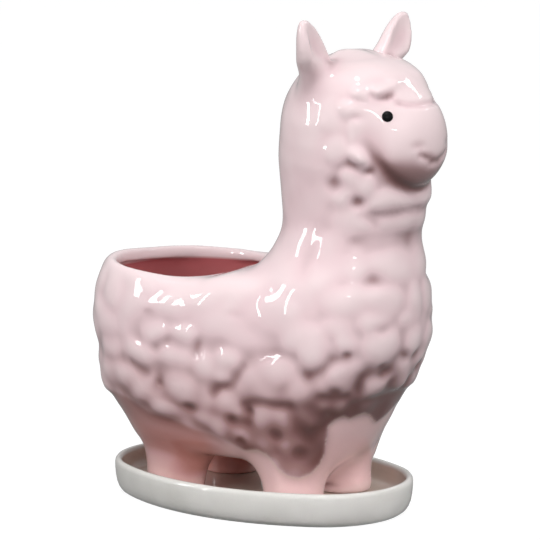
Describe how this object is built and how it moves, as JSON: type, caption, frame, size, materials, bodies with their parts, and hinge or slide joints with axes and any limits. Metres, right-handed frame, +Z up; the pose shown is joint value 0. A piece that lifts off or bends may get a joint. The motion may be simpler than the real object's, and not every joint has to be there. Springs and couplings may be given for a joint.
{
  "type": "animal shaped planter",
  "caption": "Glazed ceramic planter in the shape of a standing woolly animal, with a plant pot in its back behind the neck, standing loose in an oval saucer.",
  "frame": {"origin": "centre of the saucer's flat underside, on the surface that the planter stands on", "axes": "+X the way the animal looks, +Y to the animal's left, +Z up"},
  "size_m": [0.1901, 0.1064, 0.24],
  "materials": {
    "pink_glaze": "glossy pale pink glaze that pools mauve in the hollows of the fleece",
    "white_glaze": "glossy warm white glaze",
    "black_glaze": "glossy black glaze dots"
  },
  "bodies": {
    "saucer": {"saucer": "white_glaze"},
    "planter": {"planter_casting": "pink_glaze", "ear_left": "pink_glaze", "ear_right": "pink_glaze", "eye_left": "black_glaze", "eye_right": "black_glaze"}
  },
  "joints": [
    {"name": "planter_lift", "type": "slide", "parent": "saucer", "child": "planter", "axis": [0, 0, 1], "range_m": [0, 0.06]}
  ]
}
